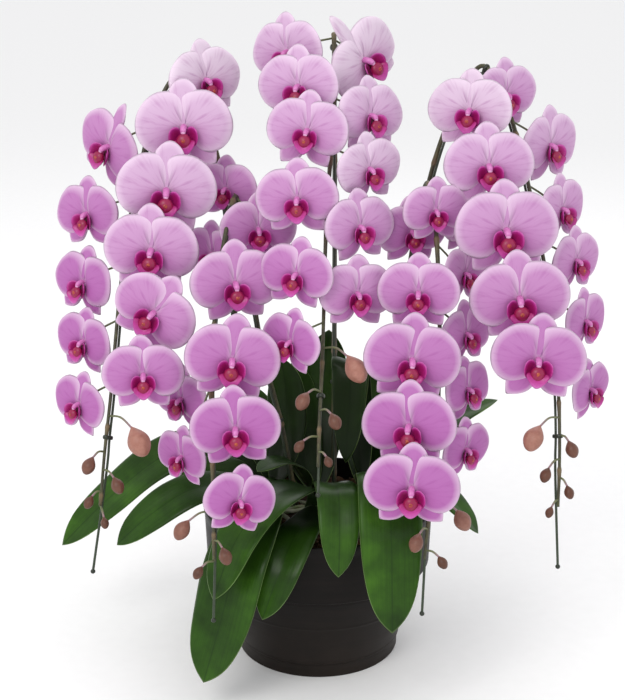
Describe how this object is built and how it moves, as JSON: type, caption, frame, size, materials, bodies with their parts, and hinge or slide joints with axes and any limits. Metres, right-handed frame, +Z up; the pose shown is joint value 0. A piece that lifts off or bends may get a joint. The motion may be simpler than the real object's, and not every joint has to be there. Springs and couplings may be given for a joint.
{
  "type": "potted phalaenopsis orchid",
  "caption": "Moth orchid with arching spikes of lilac-pink flowers over broad green leaves, in a round dark plastic pot with a wide rim band.",
  "frame": {"origin": "centre of the pot's flat underside, on the surface it stands on", "axes": "+Z up, -Y the show side that the flowers face, +X to the viewer's right when facing the show side"},
  "size_m": [0.6575, 0.4396, 0.7723],
  "materials": {
    "pot": "satin dark grey-brown injection-moulded plastic",
    "growing_medium": "loose bark chips with dry moss",
    "leaf": "smooth glossy living leaf",
    "stem": "smooth olive-brown living stem and buds",
    "wire": "dark green plastic-coated steel wire",
    "petal": "soft waxy living petal, lilac-pink with a crimson lip"
  },
  "bodies": {
    "root": {"pot": "pot", "growing_medium": "growing_medium", "orchid_plant_left": "leaf", "orchid_plant_centre": "leaf", "orchid_plant_right": "leaf", "flower_spike_1": "stem", "support_wire_1": "wire", "flower_1_front_1": "petal", "flower_1_front_2": "petal", "flower_1_front_3": "petal", "flower_1_front_4": "petal", "flower_1_front_5": "petal", "flower_1_front_6": "petal", "flower_1_side_1": "petal", "flower_1_side_2": "petal", "flower_1_side_3": "petal", "flower_1_side_4": "petal", "flower_1_side_5": "petal", "flower_spike_2": "stem", "support_wire_2": "wire", "flower_2_front_1": "petal", "flower_2_front_2": "petal", "flower_2_front_3": "petal", "flower_2_front_4": "petal", "flower_spike_3": "stem", "support_wire_3": "wire", "flower_3_front_1": "petal", "flower_3_front_2": "petal", "flower_3_front_3": "petal", "flower_3_front_4": "petal", "flower_3_front_5": "petal", "flower_3_front_6": "petal", "flower_3_side_1": "petal", "flower_3_side_2": "petal", "flower_3_side_3": "petal", "flower_3_side_4": "petal", "flower_3_side_5": "petal", "flower_spike_4": "stem", "support_wire_4": "wire", "flower_4_front_1": "petal", "flower_4_front_2": "petal", "flower_4_front_3": "petal", "flower_4_front_4": "petal", "flower_4_side_1": "petal", "flower_4_side_2": "petal", "flower_4_side_3": "petal", "flower_4_side_4": "petal", "flower_4_side_5": "petal", "flower_spike_5": "stem", "support_wire_5": "wire", "flower_5_front_1": "petal", "flower_5_front_2": "petal", "flower_5_front_3": "petal", "flower_5_front_4": "petal", "flower_5_front_5": "petal", "flower_5_side_1": "petal", "flower_5_side_2": "petal", "flower_5_side_3": "petal", "flower_5_side_4": "petal", "flower_5_side_5": "petal"}
  },
  "joints": []
}
